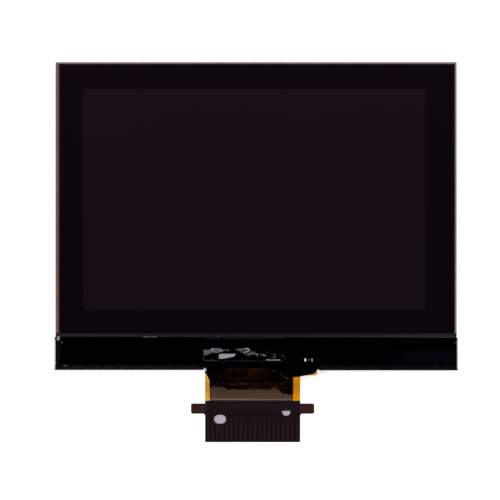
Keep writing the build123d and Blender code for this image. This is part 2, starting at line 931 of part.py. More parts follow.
def bump(grow):
    """Solid hump over the capacitor, grown by `grow` on every side: steep sides, gentle ends."""
    roof = head_top + capacitor_height + tape_gap + grow
    end = bump_length / 2 + grow
    with BuildPart() as hump:
        with BuildSketch(Plane.XY.offset(ledge_top)):
            with Locations((capacitor_x, capacitor_y)):
                RectangleRounded(2 * end, bump_width + 2 * grow, bump_corner_radius + grow)
        extrude(amount=roof - ledge_top, taper=bump_draft)
        with BuildSketch(Plane.XZ.offset(-capacitor_y)):
            with BuildLine():
                Polyline(
                    (capacitor_x - end, ledge_top),
                    (capacitor_x - end, roof - bump_end_drop),
                    (capacitor_x - capacitor_length / 2, roof),
                    (capacitor_x + capacitor_length / 2, roof),
                    (capacitor_x + end, roof - bump_end_drop),
                    (capacitor_x + end, ledge_top),
                    close=True,
                )
            make_face()
        extrude(amount=bump_width, both=True, mode=Mode.INTERSECT)
    return hump.part


def raised_forms(grow):
    """The tents over the chip, the flex head and its wing, and the capacitor's hump."""
    return [
        tent(
            chip_x - chip_width / 2 - tape_gap,
            chip_x + chip_width / 2 + tape_gap,
            chip_y - chip_depth / 2 - tape_gap,
            chip_y + chip_depth / 2 + tape_gap,
            False,
            head_base + chip_height + tape_gap,
            grow,
        ),
        tent(flex_left, head_right, panel_bottom, head_edge, True, tape_over_head, grow),
        tent(flex_right, head_right, panel_bottom, wing_edge, True, tape_over_head, grow),
        bump(grow),
    ]


def tab_edge():
    """Corners of the tape's hand-cut edge, from the left of the flex head to the wing's tip."""
    corners = []
    for across, down in tab_edge_shares:
        corner_x = flex_left + across * (head_right - flex_left)
        corners.append((corner_x, panel_bottom - down * tape_tab_reach))
    return corners


with BuildPart() as ledge_tape:
    extrude(
        bent_section(Plane.YZ, tape_route, tape_bends, 0, tape_thickness),
        amount=panel_width / 2 + tape_overhang,
        both=True,
    )
    # Notch where the flex circuit leaves the ledge
    with BuildSketch(Plane.XY.offset(-overrun)):
        area(notch_left, notch_right, notch_end, panel_bottom + tape_back_reach + overrun)
    extrude(amount=array_base + overrun, mode=Mode.SUBTRACT)
    with BuildSketch(Plane.XY.offset(array_base)):
        area(notch_left, notch_right, notch_end, panel_bottom)
    extrude(amount=tape_over_head, mode=Mode.SUBTRACT)
    add(raised_forms(tape_thickness))
    add(raised_forms(0), mode=Mode.SUBTRACT)
    # Tab over the flex circuit, past the ledge, with its lower edge cut by hand
    with BuildPart(mode=Mode.PRIVATE) as tape_tab:
        add(flex_layer(flex_left, head_right, tab_near, tab_near + tape_thickness))
        with BuildSketch():
            area(flex_left, head_right, tab_end, panel_bottom)
        extrude(amount=head_top + overrun, mode=Mode.INTERSECT)
    add(tape_tab.part)
    with BuildSketch():
        with BuildLine():
            Polyline(
                (flex_left, tab_end - overrun),
                *tab_edge(),
                (head_right, tab_end - overrun),
                close=True,
            )
        make_face()
    extrude(amount=tape_over_head + overrun, mode=Mode.SUBTRACT)

ledge_tape.part.label = "ledge_tape"
export_step(ledge_tape.part, "parts/ledge_tape.step")
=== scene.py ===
"""Dresses a small colour display module: finishes for every part of it, the folded black tape
over its chip ledge, and a plain studio round it. Laid out as an add-on and run as a script."""

import math
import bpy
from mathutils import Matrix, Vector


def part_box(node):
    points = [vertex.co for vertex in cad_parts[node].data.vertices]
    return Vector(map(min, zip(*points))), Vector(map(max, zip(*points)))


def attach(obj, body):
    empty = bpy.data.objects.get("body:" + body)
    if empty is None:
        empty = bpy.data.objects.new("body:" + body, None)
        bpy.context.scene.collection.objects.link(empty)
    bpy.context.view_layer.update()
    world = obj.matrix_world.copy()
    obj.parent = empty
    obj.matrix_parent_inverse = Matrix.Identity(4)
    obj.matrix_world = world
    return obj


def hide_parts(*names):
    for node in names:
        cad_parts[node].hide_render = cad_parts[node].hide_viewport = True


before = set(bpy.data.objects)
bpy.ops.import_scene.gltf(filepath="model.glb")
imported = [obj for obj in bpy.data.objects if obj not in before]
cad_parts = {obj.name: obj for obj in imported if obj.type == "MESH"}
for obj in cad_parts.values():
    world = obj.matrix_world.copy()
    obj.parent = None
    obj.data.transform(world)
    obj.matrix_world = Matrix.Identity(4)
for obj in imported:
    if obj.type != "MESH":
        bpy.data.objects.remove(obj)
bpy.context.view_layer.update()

from types import SimpleNamespace

import bpy
from bpy.props import FloatProperty, FloatVectorProperty, PointerProperty
from mathutils import Vector, noise
from mathutils.bvhtree import BVHTree

bl_info = {
    "name": "Display Module Dressing",
    "version": (1, 0, 0),
    "blender": (4, 5, 0),
    "location": "3D View > Sidebar > Display",
    "description": "Finishes, ledge tape and studio for a small display module",
    "category": "Object",
}

WHITE = (1.0, 1.0, 1.0)
MM = 0.001
# Two places that differ by fewer millimetres than this are taken as the same
ROUNDING = 0.002


def srgb(*channels):
    """The linear values that shaders use for a screen colour from 0 to 255 a channel."""
    shares = [value / 255 for value in channels]
    return tuple(
        share / 12.92 if share <= 0.04045 else ((share + 0.055) / 1.055) ** 2.4 for share in shares
    )


def opaque(colour):
    """A colour with full alpha, as a socket takes it. A Flow stays as it is."""
    return colour if isinstance(colour, Flow) else (*tuple(colour)[:3], 1.0)


def clamp(value, low=0.0, high=1.0):
    """The value, kept from low to high."""
    return max(low, min(high, value))


def ease(value):
    """Smooth step from 0 to 1."""
    share = clamp(value)
    return share * share * (3 - 2 * share)


def blend(a, b, share):
    """a turned into b by share."""
    return a + (b - a) * share


def box(name):
    """The two corners of a CAD node's box, in millimetres."""
    return tuple(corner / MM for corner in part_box(name))


def wave(x, y, pattern):
    """Smooth noise from -1 to 1: the pattern gives its cells a millimetre and its layer."""
    across, up, layer = pattern
    return noise.noise(Vector((x * across, y * up, layer)))


# Sizes and colours


def length(name, description, millimetres):
    return FloatProperty(
        name=name, description=description, default=millimetres * MM, unit="LENGTH", precision=5
    )


def level(name, description, value):
    return FloatProperty(name=name, description=description, default=value, min=0.0)


def colour(name, description, *channels):
    return FloatVectorProperty(
        name=name, description=description, default=srgb(*channels), min=0.0, max=1.0,
        size=3, subtype="COLOR",
    )


class DisplayTapeSizes(bpy.types.PropertyGroup):
    thickness: length("Thickness", "Thickness of the ledge tape", 0.08)
    seat: length("Seat gap", "Gap between the tape and what it is stuck to", 0.02)
    lap: length("Lap", "How far the tape laps on the front glass", 0.15)
    skew: level("Skew", "Share of the lap by which it grows and shrinks towards the ends", 0.8)
    slope: length("Slope", "Run of the tape's slope down from the front glass", 0.4)
    overhang: length("Overhang", "How far the tape passes each side of the panel", 0.25)
    back_reach: length("Back reach", "Width of the tape's leg behind the ledge", 3.2)
    fold_radius: length("Fold radius", "Outer radius of the folds at the ledge's edge", 0.1)
    skirt: length("Skirt", "Run of the tape's slope round what it covers", 0.2)
    rim: length("Rim", "Width of the creased rim of the tape over the chip", 0.06)
    side_rim: length("Side rim", "Width of the creases at the sides of the chip", 0.09)
    rim_left: length("Left rim", "Height of the crease at the left of the chip", 2.45)
    rim_right: length("Right rim", "Height of the crease at the right of the chip", 1.1)
    wing_reach: length("Wing reach", "How far the flex circuit's wing passes its tail", 3.6)
    notch_play: length("Notch play", "Room at each side of the flex circuit in the cut", 0.35)
    hump_length: length("Hump length", "Length of the hump over the capacitor", 2.08)
    hump_width: length("Hump width", "Width of the hump over the capacitor", 1.28)
    ridge_left: length("Ridge left", "Flat top of the hump, left of its middle", 0.5)
    ridge_right: length("Ridge right", "Flat top of the hump, right of its middle", 0.57)
    bulge: length("Bulge", "How far the fold stands off the ledge at the right", 0.09)
    fine_step: length("Fine step", "Distance between the mesh lines over the chip and flex", 0.11)
    coarse_step: length("Coarse step", "Distance between the mesh lines on the plain stretches", 0.7)
    ripple: length("Ripple", "Height of the slow ripples in the tape", 0.012)


class DisplayColours(bpy.types.PropertyGroup):
    picture: colour("Picture area", "The unlit picture area", 28, 18, 23)
    border: colour("Border", "The printed border round the picture area", 17, 8, 15)
    # Painted light: the margins' tones a side stand in for how the softboxes light the glass.
    glass_left_lit: colour("Glass left", "The bare glass margin at the left", 132, 101, 92)
    glass_right_lit: colour("Glass right", "The bare glass margin at the right", 165, 150, 150)
    glass_top_lit: colour("Glass top", "The bare glass margin at the top", 158, 142, 140)
    glass_bottom: colour("Glass bottom", "The bare glass margin above the tape", 46, 35, 40)
    film_rim: colour("Film rim", "The screen film along its cut edges", 80, 58, 56)
    glass_edge: colour("Glass edge", "The cut edges of the glass", 120, 132, 128)
    tape: colour("Tape", "The black ledge tape", 0.4, 0.4, 0.8)
    # Painted reflection: a dim bluish sheen on the tape at the right.
    tape_reflection: colour("Tape haze", "The tape at the right, where it is a little hazy", 8, 8, 16)
    # Real rubs mixed with painted sheen of the tape's wrinkles.
    tape_rub_and_sheen: colour("Tape rub", "The tape where its fold and its left end are rubbed", 35, 30, 36)
    tape_dust: colour("Tape dust", "Dust on the tape", 40, 40, 48)
    film_light: colour("Film light", "Amber film at the left of the tail", 253, 186, 50)
    film_deep: colour("Film deep", "Amber film at the right of the tail", 250, 160, 2)
    film_hidden: colour("Film hidden", "The film where the stiffener's hole shows it", 12, 7, 7)
    cover_dark: colour("Cover dark", "Cover film near the ledge", 7, 2, 1)
    cover_light: colour("Cover light", "Cover film near the stiffener", 93, 73, 55)
    # Painted highlight and painted shadow where the cover film meets the stiffener's upper edge.
    cover_highlight: colour("Cover strip", "Bright strip of cover film by the stiffener", 120, 102, 80)
    cover_shadow: colour("Cover end", "Cover film where it meets the stiffener", 34, 26, 28)
    glow: colour("Glow", "Warm glow of the cover film just past the ledge", 19, 7, 2)
    copper: colour("Copper", "Conductors that show through the cover film", 74, 42, 16)
    stiffener: colour("Stiffener", "Stiffener with no copper behind it", 28, 16, 18)
    stiffener_top: colour("Stiffener top", "Stiffener towards its upper edge", 38, 30, 37)
    stiffener_light: colour("Stiffener light", "Stiffener between the contacts", 42, 29, 30)
    stiffener_ear: colour("Stiffener ear", "The stiffener's ears", 59, 34, 29)
    steel: colour("Steel", "The pressed bezel", 196, 196, 198)
    frame_white: colour("Frame white", "The moulded light frame", 232, 234, 232)
    floor: colour("Floor", "The table under the module", 244, 243, 246)
    floor_shade: colour("Floor shade", "The table where the tail shades it", 202, 189, 199)


class DisplayStudio(bpy.types.PropertyGroup):
    camera_height: length("Camera height", "Height of the camera over the table", 1004.0)
    camera_x: length("Camera across", "Place of the camera across the module", -1.29)
    camera_y: length("Camera up", "Place of the camera up the module", -7.28)
    lens: FloatProperty(name="Lens", description="Focal length", default=338.8, unit="CAMERA")
    key_level: level("Key light", "Brightness of the long softbox above the screen's top edge", 8.5)
    near_level: level("Near light", "Brightness of the strip beside the long softbox", 2.8)
    key_colour: colour("Key colour", "Colour of the long softbox", 245, 239, 255)
    left_level: level("Left light", "Brightness of the softbox at the left", 22.0)
    right_level: level("Right light", "Brightness of the softbox at the right", 9.0)
    wall_level: level("Wall light", "Brightness of the studio near the horizon", 0.08)
    ceiling_level: level("Ceiling light", "Brightness of the studio overhead", 0.004)
    floor_glow: level("Floor glow", "How much the table is lifted towards white", 0.72)
    light_distance: length("Light distance", "Distance of the softboxes from the module", 1200.0)
    floor_size: length("Floor size", "Side of the table top", 4000.0)


# Shader expressions


class Flow:
    """A socket's value in a Python expression: each operator adds the Math node it stands for."""

    def __init__(self, recipe, socket):
        self.recipe = recipe
        self.socket = socket

    def math(self, operation, *others):
        inputs = dict(enumerate((self, *others)))
        return self.recipe.node("Math", inputs, operation=operation)

    def __add__(self, other):
        return self.math("ADD", other)

    def __sub__(self, other):
        return self.math("SUBTRACT", other)

    def __rsub__(self, other):
        return self.recipe.node("Math", {0: other, 1: self}, operation="SUBTRACT")

    def __mul__(self, other):
        return self.math("MULTIPLY", other)

    __radd__ = __add__
    __rmul__ = __mul__

    def low(self, other):
        return self.math("MINIMUM", other)

    def high(self, other):
        return self.math("MAXIMUM", other)

    def absolute(self):
        return self.math("ABSOLUTE")

    def cycle(self, period):
        """Distance from the nearest whole multiple of period."""
        return self.math("PINGPONG", period / 2)

    def ramp(self, start, end, low, high):
        """Turns smoothly from low at start into high at end, where start is the smaller."""
        inputs = dict(enumerate((self, start, end, low, high)))
        return self.recipe.node("MapRange", inputs, interpolation_type="SMOOTHSTEP")

    def step(self, start, end):
        """Rises smoothly from 0 at start to 1 at end, or falls where end is the smaller."""
        if start < end:
            return self.ramp(start, end, 0.0, 1.0)
        return self.ramp(end, start, 1.0, 0.0)

    def between(self, low, high, soft):
        """1 from low to high, with an edge of width soft at each end."""
        rise = self.step(low - soft / 2, low + soft / 2)
        return rise * self.step(high + soft / 2, high - soft / 2)


class Recipe:
    """The nodes of one material or world, added one by one."""

    def __init__(self, name, library="materials"):
        self.owner = getattr(bpy.data, library).new(name)
        self.owner.use_nodes = True
        self.tree = self.owner.node_tree
        self.tree.nodes.clear()
        self.place = self.node("TexCoord", out="Object")

    def node(self, kind, inputs=None, out=0, **settings):
        """Adds a node: its settings first, then the values or links of its sockets."""
        made = self.tree.nodes.new(f"ShaderNode{kind}")
        for name, value in settings.items():
            setattr(made, name, value)
        for socket, value in (inputs or {}).items():
            if isinstance(value, Flow):
                self.tree.links.new(value.socket, made.inputs[socket])
            else:
                made.inputs[socket].default_value = value
        return Flow(self, made.outputs[out] if made.outputs else None)

    def axis(self, name):
        """The place along one axis, in millimetres."""
        return self.node("SeparateXYZ", {0: self.place}, name) * (1 / MM)

    def grain(self, scale, detail=3.0, roughness=0.55):
        """Noise from 0 to 1 whose cells are about 1 / scale millimetres a side."""
        sides = scale if isinstance(scale, tuple) else (scale, scale, scale)
        size = tuple(side / MM for side in sides)
        place = self.node("Mapping", {"Vector": self.place, "Scale": size})
        inputs = {"Vector": place, "Scale": 1.0, "Detail": detail, "Roughness": roughness}
        return self.node("TexNoise", inputs, "Fac")

    def mix(self, a, b, share):
        """One colour turned into another by share."""
        inputs = {"Factor": share, 6: opaque(a), 7: opaque(b)}
        return self.node("Mix", inputs, 2, data_type="RGBA")

    def shade(self, paint, share):
        """A colour made lighter or darker: share 1 leaves it as it is."""
        bright = self.node("CombineColor", {0: share, 1: share, 2: share})
        inputs = {"Factor": 1.0, 6: opaque(paint), 7: bright}
        return self.node("Mix", inputs, 2, data_type="RGBA", blend_type="MULTIPLY")

    def output(self, surface, kind="OutputMaterial"):
        """Joins a shader to the output, and gives back the material or world."""
        self.node(kind, {"Surface": surface})
        return self.owner

    def finish(self, base, rough, relief, depth, shine=0.5, metal=0.0):
        """The surface, with a relief from 0 to 1 over so many millimetres of depth."""
        bump = self.node("Bump", {"Height": relief, "Distance": depth * MM}, "Normal")
        inputs = {"Base Color": opaque(base), "Roughness": rough, "Metallic": metal, "Normal": bump}
        inputs["Specular IOR Level"] = shine
        return self.output(self.node("BsdfPrincipled", inputs))


def speckled(name, base, rough, spread=0.06, cell=2.0, fine=14.0, depth=0.004, metal=0.0):
    """A plain finish with slow and fine variation in its colour, gloss and surface."""
    recipe = Recipe(name)
    slow = recipe.grain(cell)
    quick = recipe.grain(fine, detail=4.0)
    share = 1.0 - spread + slow * spread + quick * spread
    gloss = rough - spread / 2 + quick * spread
    return recipe.finish(recipe.shade(base, share), gloss.high(0.02), quick, depth, metal=metal)


def paint(material, *nodes):
    """Gives CAD nodes a finish in their own material slots."""
    for name in nodes:
        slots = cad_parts[name].material_slots
        if not slots:
            raise RuntimeError(f"{name} has no material slot")
        for slot in slots:
            slot.material = material


# Finishes of the screen


def screen_film(colours):
    """Dark polariser: the picture area shows as a slightly lighter field in the black border, and
    its cut edges are paler."""
    recipe = Recipe("screen_film")
    x, y = recipe.axis("X"), recipe.axis("Y")
    low, high = box("colour_filter")
    film_low, film_high = box("front_polariser")
    soft, left_rim, rim = 0.12, 0.38, 0.3
    field = x.between(low.x, high.x, soft) * y.between(low.y, high.y, soft)
    cloud = recipe.grain((0.03, 0.03, 0.03), detail=2.0)
    speck = recipe.grain(9.0, detail=2.0)
    share = 0.9 + cloud * 0.14 + speck * 0.06 + y * 0.004
    face = recipe.mix(colours.border, colours.picture, field)
    cut = x.step(film_low.x + left_rim, film_low.x)
    cut = cut.high(x.step(film_high.x - rim, film_high.x))
    cut = cut.high(y.step(film_high.y - rim, film_high.y))
    face = recipe.mix(face, colours.film_rim, cut)
    fine = recipe.grain(30.0, detail=2.0)
    rough = 0.045 + cloud * 0.02 + fine * 0.015
    return recipe.finish(recipe.shade(face, share), rough, fine, 0.0004, shine=0.16)


def cut_glass(colours):
    """Display glass: bare margins that differ a side with painted light, paler at the right and top
    where the softboxes catch the glass, a dark strip above the tape, which grows lighter towards the
    tape and its own ends, and paler cut edges."""
    recipe = Recipe("cut_glass")
    x, y = recipe.axis("X"), recipe.axis("Y")
    film_low, film_high = box("front_polariser")
    under, past, strip = 0.02, 0.04, 0.7
    # Painted light: each side of the margin gets its own lit tone, the right one pale with a glint.
    side = recipe.mix(colours.glass_left_lit, colours.glass_right_lit, x.step(-10.0, 10.0))
    top = recipe.mix(side, colours.glass_top_lit, y.step(film_high.y - under, film_high.y + past))
    light = 0.5 + y.step(film_low.y, film_low.y - strip) * 0.6
    low = recipe.shade(colours.glass_bottom, light * (0.74 + x * x * 0.00025))
    face = recipe.mix(top, low, y.step(film_low.y + past, film_low.y - under))
    streak = recipe.grain((0.9, 0.35, 2.0), detail=4.0)
    face = recipe.shade(face, 0.72 + streak * 0.56)
    chip = recipe.grain(7.0, detail=5.0, roughness=0.7)
    edge = recipe.shade(colours.glass_edge, 0.75 + chip * 0.5)
    normal = recipe.node("NewGeometry", out="Normal")
    upward = recipe.node("SeparateXYZ", {0: normal}, "Z").absolute()
    base = recipe.mix(edge, face, upward.step(0.55, 0.85))
    rough = 0.08 + chip * 0.1 + upward.step(0.85, 0.55) * 0.12
    return recipe.finish(base, rough, chip, 0.003)


# Finishes of the flex circuit


def amber_film(colours):
    """Polyimide film: amber, glossy, a little deeper at one side, and dark behind the stiffener."""
    recipe = Recipe("amber_film")
    x, y = recipe.axis("X"), recipe.axis("Y")
    contact_top, stiff_top = box("contact_fingers")[1].y, box("tail_stiffener")[1].y
    deep = recipe.mix(colours.film_light, colours.film_deep, x.step(-9.0, 8.0))
    stain = recipe.grain((0.5, 0.3, 0.5))
    fibre = recipe.grain((6.0, 1.2, 6.0))
    base = recipe.shade(deep, 0.86 + stain * 0.2 + fibre * 0.08)
    base = recipe.mix(base, colours.film_hidden, y.between(contact_top, stiff_top + 0.1, 0.1))
    return recipe.finish(base, 0.3 + fibre * 0.1, fibre, 0.003, shine=0.14)


# Edge between the cover film's dark part and its dull field, up the module, and its fall at the
# right: where that starts, how far it runs and how steep it is
FIELD_EDGE = -36.13
FIELD_FALL = (4.1, 1.9, 0.72)
# Brown runs that show through the cover film: up the module, left end, right end, half width
BROWN_RUNS = (
    (-32.6, -6.0, 2.6, 0.14),
    (-34.5, -6.1, 1.4, 0.14),
    (-35.85, -9.3, 7.0, 0.6),
    (-36.5, -1.2, 7.6, 0.75),
)
CONDUCTOR_PITCH = 0.5


def trace_cover(colours):
    """Cover film over the conductors: near-black by the ledge with a warm glow and a few brown runs,
    a duller, lighter field with an uneven edge, a painted highlight strip where it bends onto the
    stiffener, and a painted shadow line at the stiffener's edge."""
    recipe = Recipe("trace_cover")
    x, y = recipe.axis("X"), recipe.axis("Y")
    ragged = recipe.grain((0.45, 0.12, 0.45), detail=5.0, roughness=0.62)
    start, run, steep = FIELD_FALL
    fall = (x - start).high(0.0).low(run) * steep
    edge = y + fall - FIELD_EDGE + x.between(-5.8, 3.2, 1.8) * 0.4 - (ragged - 0.5) * 1.9
    light = edge.step(-0.32, -0.62)
    weave = recipe.grain((9.0, 4.0, 9.0))
    mottle = recipe.grain(2.2, detail=4.0)
    runs = x.cycle(CONDUCTOR_PITCH).step(0.2, 0.12)
    field = recipe.shade(colours.cover_light, 0.62 + weave * 0.4 + mottle * 0.3 - runs * 0.12)
    stripes = runs * recipe.grain((0.35, 0.2, 0.35)).step(0.45, 0.75) * 0.35
    stripes = stripes * (0.2 + x.step(-8.4, -6.6) * 0.8)
    lines = None
    for place, left, right, half in BROWN_RUNS:
        line = (y - place).absolute().step(half, half * 0.2) * x.between(left, right, 1.2)
        lines = line if lines is None else lines.high(line)
    broken = recipe.grain((0.8, 0.4, 0.8)).step(0.3, 0.6)
    copper = (stripes + lines * broken * 0.38).low(1.0)
    glow = y.between(-33.55, -32.5, 0.5) * x.between(-6.6, 4.0, 1.6) * (0.5 + broken * 0.5)
    warm = recipe.mix(colours.cover_dark, colours.glow, glow)
    dark = recipe.mix(warm, colours.copper, copper)
    base = recipe.mix(dark, field, light)
    stiff_top = box("tail_stiffener")[1].y
    # Painted highlight along the stiffener's upper edge, then a painted shadow line at the edge.
    upper = y + x.step(-3.0, 0.0) * 0.1
    strip = y.step(stiff_top + 0.16, stiff_top + 0.28)
    strip = strip * upper.step(stiff_top + 0.62, stiff_top + 0.5)
    base = recipe.mix(base, colours.cover_highlight, strip)
    base = recipe.mix(base, colours.cover_shadow, y.step(stiff_top + 0.2, stiff_top + 0.06))
    rough = 0.14 + light * 0.3 + weave * 0.05
    return recipe.finish(base, rough, weave * 0.6 + mottle * 0.4, 0.006, shine=0.0)


CONTACT_PITCH = 1.0


def stiff_film(colours):
    """Brown stiffener: ears redder, cooler towards its upper edge, and faint stripes where the
    contacts lie behind it."""
    recipe = Recipe("stiff_film")
    x, y = recipe.axis("X"), recipe.axis("Y")
    low, high = box("contact_fingers")
    stiff_top = box("tail_stiffener")[1].y
    gaps = (x - (low.x - 0.2)).cycle(CONTACT_PITCH).step(0.34, 0.16)
    fade = y.step(low.y + 6.2, low.y + 3.4) * 0.9
    grain = recipe.grain(3.0, detail=4.0)
    streak = recipe.grain((1.4, 0.25, 1.4))
    body = recipe.mix(colours.stiffener, colours.stiffener_light, gaps * fade)
    cool = y.step(low.y + 5.0, stiff_top - 0.5) * 0.45
    body = recipe.mix(body, colours.stiffener_top, cool)
    ears = x.step(low.x - 0.4, low.x - 1.2).high(x.step(high.x + 0.4, high.x + 1.2))
    body = recipe.mix(body, colours.stiffener_ear, ears)
    base = recipe.shade(body, 0.84 + streak * 0.2 + grain * 0.12)
    return recipe.finish(base, 0.2 + grain * 0.08, grain, 0.004, shine=0.04)


def plated_gold():
    """Gold plating with a slow cloud in its colour and scratches along the contacts."""
    recipe = Recipe("plated_gold")
    scratch = recipe.grain((18.0, 0.8, 18.0), detail=4.0)
    cloud = recipe.grain(1.2)
    base = recipe.mix((0.86, 0.58, 0.2), (0.66, 0.42, 0.14), cloud)
    return recipe.finish(base, 0.2 + scratch * 0.25, scratch, 0.002, metal=1.0)


# Finishes of the backlight


def brushed_sheet(colours):
    """Pressed steel with a fine brushing along its length and dull handling marks."""
    recipe = Recipe("brushed_sheet")
    brush = recipe.grain((0.25, 26.0, 26.0), detail=5.0, roughness=0.7)
    mark = recipe.grain((0.09, 0.14, 0.14), detail=4.0, roughness=0.6)
    base = recipe.shade(colours.steel, 0.82 + brush * 0.18 + mark * 0.16)
    rough = 0.24 + brush * 0.16 + mark * 0.14
    return recipe.finish(base, rough, brush, 0.0025, metal=1.0)


def lamp_window():
    """Phosphor resin: yellow with pale grains."""
    recipe = Recipe("lamp_resin")
    grains = recipe.grain(16.0)
    base = recipe.mix((0.72, 0.55, 0.08), (0.9, 0.82, 0.35), grains)
    return recipe.finish(base, 0.22 + grains * 0.12, grains, 0.004)


PRISM_PITCH = 0.05


def ribbed_film(name, across):
    """Clear film with fine prism ribs that follow each other along the axis named across."""
    recipe = Recipe(name)
    ribs = recipe.axis(across).cycle(PRISM_PITCH) * (1 / PRISM_PITCH)
    haze = recipe.grain(0.6)
    base = recipe.shade((0.78, 0.8, 0.82), 0.88 + haze * 0.16 + ribs * 0.06)
    return recipe.finish(base, 0.16 + haze * 0.1, ribs, 0.01)


def tape_finish(colours):
    """Glossy black film tape: a faint orange peel, a little dust, a painted dim reflection at the
    right, and rubs with painted sheen of wrinkles along the lower fold, but not over the flex
    circuit, and down the left end."""
    recipe = Recipe("ledge_tape_gloss")
    x, y = recipe.axis("X"), recipe.axis("Y")
    edge = box("array_glass")[0].y
    film_low, film_high = box("flex_circuit")
    peel = recipe.grain(1.6)
    rub = recipe.grain((0.2, 1.1, 0.2), detail=4.0)
    dust = recipe.grain(11.0, detail=2.0).step(0.68, 0.76)
    # Painted reflection: a dim bluish sheen over the ledge at the right.
    reflected = x.step(24.0, 38.0) * y.between(-31.3, -28.6, 1.4)
    base = recipe.mix(colours.tape, colours.tape_reflection, reflected)
    # Lighter along the lower fold and down the left end: rubs, and painted sheen of wrinkles.
    fold = y.step(edge + 1.3, edge + 0.1)
    fold = fold * (1.0 - x.step(-40.0, 30.0) * 0.55)
    fold = fold * (1.0 - x.between(film_low.x - 0.3, film_high.x + 0.3, 0.4))
    fold = fold.high(x.step(-41.2, -42.4) * 0.5)
    patchy = recipe.grain((0.9, 3.0, 0.9), detail=4.0).step(0.3, 0.7)
    base = recipe.mix(base, colours.tape_rub_and_sheen, (fold * (0.25 + patchy * 1.35)).low(1.0))
    base = recipe.mix(base, colours.tape_dust, dust * 0.2)
    rough = 0.04 + rub * 0.03 + dust * 0.1
    return recipe.finish(base, rough, peel, 0.0012)


# The ledge tape: lengths in millimetres, rises and falls in millimetres a millimetre

# Noise: cells a millimetre across and up, and layer
FACET_GRAIN = (3.1, 3.7, 4.2)
RIM_WAVE = (1.7, 0.0, 5.5)
SLOW_RIPPLE = (0.35, 0.6, 1.7)
END_WRINKLE = (1.3, 1.1, 8.0)
FRAYED_WRINKLE = (1.2, 3.0, 3.0)
CUT_WAVE = (1.6, 2.0, 0.0)
CUT_WAVE_HEIGHT = 0.03

# The raised parts reach past the conductors' upper edge and, over the wing, past the bond film
HEAD_ROOM = 0.3
WING_ROOM = 0.1
# The creases along the chip's rim
CREASE_LIFT = 0.09
CREASE_WAVE = 0.06
SIDE_CREASE = 0.22
# The hump: the fall of its ends, and how its ridge rounds off and its ends curve
HUMP_FALL = 0.27
HUMP_CROWN = 0.06
HUMP_CURVE = 0.05
# The tape's worn ends, and in them the frayed stretch by the lower edge, with its share at the
# right end
WORN_START = 36.5
WORN_RUN = 4.0
WORN_HEIGHT = 0.022
FRAYED_WIDTH = 1.5
FRAYED_RUN = 0.8
FRAYED_HEIGHT = 0.04
FRAYED_RIGHT = 0.5
# The outermost ends droop off the glass
DROOP_RUN = 0.35
DROOP_HEIGHT = 0.07
# Where the fold starts to stand off the ledge, and the run over which it does
BULGE_START = -5.0
BULGE_RUN = 20.0

# The mesh: stretches with close lines, two lines more, counts of steps round the ledge, the
# shortest tab that is kept over the flex circuit, and the angle that still shades smooth
END_STRETCH = 5.0
NOTCH_STRETCH = 0.7
GLINT_STRETCH = (-24.0, -20.4)
EXTRA_LINES = (7.4, 9.8)
CLOSE_STEP = 0.16
FOLD_STEPS = 4
WALL_STEPS = 8
BACK_STEPS = 6
SHORTEST_TAB = 0.03
SMOOTH_DEGREES = 24


class Facet:
    """A flat facet where the tape stands off what it covers: its corners, anticlockwise, the rise
    of its plane up the module and its lean across, the width of its soft edge, and how uneven it
    is. It lies on the form below it, or with a level it bridges a step."""

    def __init__(self, corners, rise, lean=0.0, soft=0.08, rough=0.0, level=None):
        self.corners, self.rise, self.lean = corners, rise, lean
        self.soft, self.rough, self.level = soft, rough, level
        self.lowest = min(self.tilt(x, y) for x, y in corners)
        self.low = [min(places) - soft for places in zip(*corners)]
        self.high = [max(places) + soft for places in zip(*corners)]

    def tilt(self, x, y):
        """Height of the plane."""
        return self.lean * x + self.rise * y

    def inset(self, x, y):
        """Distance in from the nearest edge of the facet, below zero outside it."""
        inset = math.inf
        for (ax, ay), (bx, by) in zip(self.corners, self.corners[1:] + self.corners[:1]):
            area = (bx - ax) * (y - ay) - (by - ay) * (x - ax)
            inset = min(inset, area / math.hypot(bx - ax, by - ay))
        return inset

    def lift(self, x, y, height):
        """The height at a place, raised to the facet where that lies over it."""
        if not (self.low[0] < x < self.high[0] and self.low[1] < y < self.high[1]):
            return height
        window = clamp(1 + self.inset(x, y) / self.soft)
        plane = self.tilt(x, y) - self.lowest
        plane += wave(x, y, FACET_GRAIN) * self.rough
        if self.level is not None:
            return blend(height, max(height, self.level + plane), window)
        return height + max(0.0, plane) * window


def oblong(left, low, right, high):
    """The corners of an upright rectangle, anticlockwise."""
    return ((left, low), (right, low), (right, high), (left, high))


